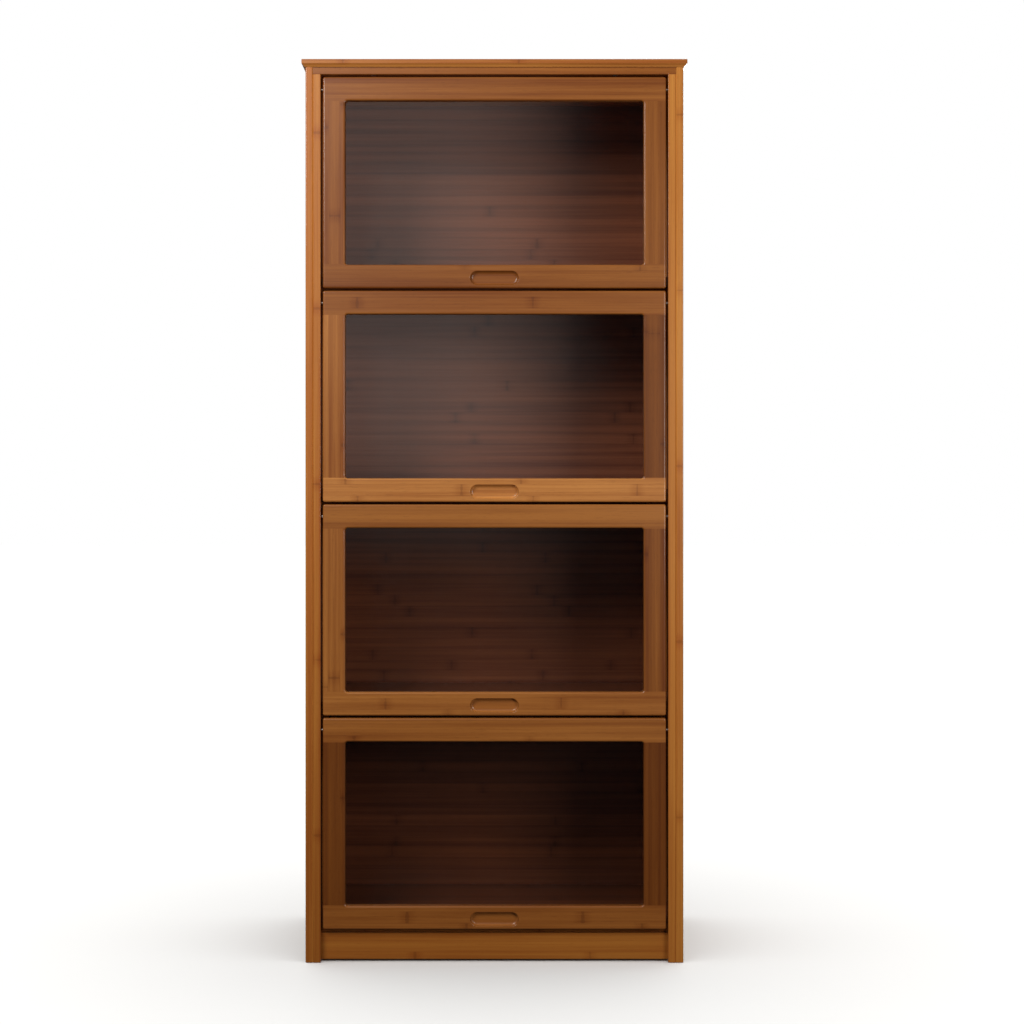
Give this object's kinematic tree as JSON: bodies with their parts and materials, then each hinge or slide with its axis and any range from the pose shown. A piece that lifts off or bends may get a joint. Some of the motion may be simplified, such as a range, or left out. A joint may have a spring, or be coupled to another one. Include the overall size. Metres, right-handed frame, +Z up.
{
  "type": "barrister bookcase",
  "caption": "Tall narrow bamboo bookcase with stacked shelves, each behind a framed clear door that lifts on two pins and slides in over its compartment.",
  "frame": {"origin": "on the floor, in the middle of the bookcase's overall width and depth", "axes": "+Z up, -Y out of the front, +X to the right for a person facing the doors"},
  "size_m": [0.636, 0.336, 1.49],
  "materials": {
    "bamboo_case": "satin",
    "bamboo_door": "satin",
    "bamboo_back": "satin",
    "acrylic": "gloss",
    "steel": "satin",
    "rubber": "matte"
  },
  "bodies": {
    "case": {"top_board": "bamboo_case", "side_panel_left": "bamboo_case", "side_panel_right": "bamboo_case", "front_post_left": "bamboo_case", "front_post_right": "bamboo_case", "rear_post_left": "bamboo_case", "rear_post_right": "bamboo_case", "top_front_rail": "bamboo_case", "top_rear_rail": "bamboo_case", "base_front_rail": "bamboo_case", "base_rear_rail": "bamboo_case", "base_side_rail_left": "bamboo_case", "base_side_rail_right": "bamboo_case", "slide_rail_1_left": "bamboo_case", "slide_rail_1_right": "bamboo_case", "slide_rail_2_left": "bamboo_case", "slide_rail_2_right": "bamboo_case", "slide_rail_3_left": "bamboo_case", "slide_rail_3_right": "bamboo_case", "slide_rail_4_left": "bamboo_case", "slide_rail_4_right": "bamboo_case", "hold_down_blocks_left": "bamboo_case", "hold_down_blocks_right": "bamboo_case", "shelf_1": "bamboo_case", "shelf_2": "bamboo_case", "shelf_3": "bamboo_case", "bottom_shelf": "bamboo_case", "back_panel_1": "bamboo_back", "back_panel_2": "bamboo_back", "back_panel_3": "bamboo_back", "back_panel_4": "bamboo_back", "bumpers": "rubber", "side_screws_left": "steel", "side_screws_right": "steel", "top_screws": "steel"},
    "door_1_pins": {"door_1_pins": "steel"},
    "door_1": {"door_1_top_rail": "bamboo_door", "door_1_bottom_rail": "bamboo_door", "door_1_left_stile": "bamboo_door", "door_1_right_stile": "bamboo_door", "door_1_pane": "acrylic"},
    "door_2_pins": {"door_2_pins": "steel"},
    "door_2": {"door_2_top_rail": "bamboo_door", "door_2_bottom_rail": "bamboo_door", "door_2_left_stile": "bamboo_door", "door_2_right_stile": "bamboo_door", "door_2_pane": "acrylic"},
    "door_3_pins": {"door_3_pins": "steel"},
    "door_3": {"door_3_top_rail": "bamboo_door", "door_3_bottom_rail": "bamboo_door", "door_3_left_stile": "bamboo_door", "door_3_right_stile": "bamboo_door", "door_3_pane": "acrylic"},
    "door_4_pins": {"door_4_pins": "steel"},
    "door_4": {"door_4_top_rail": "bamboo_door", "door_4_bottom_rail": "bamboo_door", "door_4_left_stile": "bamboo_door", "door_4_right_stile": "bamboo_door", "door_4_pane": "acrylic"}
  },
  "joints": [
    {"name": "door_1_slide", "type": "slide", "parent": "case", "child": "door_1_pins", "axis": [0, 1, 0], "range_m": [0, 0.2791]},
    {"name": "door_1_lift", "type": "hinge", "parent": "door_1_pins", "child": "door_1", "pos_m": [0, -0.153, 1.442], "axis": [-1, 0, 0], "range_deg": [0, 90]},
    {"name": "door_2_slide", "type": "slide", "parent": "case", "child": "door_2_pins", "axis": [0, 1, 0], "range_m": [0, 0.2791]},
    {"name": "door_2_lift", "type": "hinge", "parent": "door_2_pins", "child": "door_2", "pos_m": [0, -0.153, 1.089], "axis": [-1, 0, 0], "range_deg": [0, 90]},
    {"name": "door_3_slide", "type": "slide", "parent": "case", "child": "door_3_pins", "axis": [0, 1, 0], "range_m": [0, 0.2791]},
    {"name": "door_3_lift", "type": "hinge", "parent": "door_3_pins", "child": "door_3", "pos_m": [0, -0.153, 0.736], "axis": [-1, 0, 0], "range_deg": [0, 90]},
    {"name": "door_4_slide", "type": "slide", "parent": "case", "child": "door_4_pins", "axis": [0, 1, 0], "range_m": [0, 0.2791]},
    {"name": "door_4_lift", "type": "hinge", "parent": "door_4_pins", "child": "door_4", "pos_m": [0, -0.153, 0.383], "axis": [-1, 0, 0], "range_deg": [0, 90]}
  ],
  "couplings": [
    {"joint": "door_1_slide", "follows": "door_1_lift", "m_per_rad": 0.17762},
    {"joint": "door_2_slide", "follows": "door_2_lift", "m_per_rad": 0.17762},
    {"joint": "door_3_slide", "follows": "door_3_lift", "m_per_rad": 0.17762},
    {"joint": "door_4_slide", "follows": "door_4_lift", "m_per_rad": 0.17762}
  ]
}
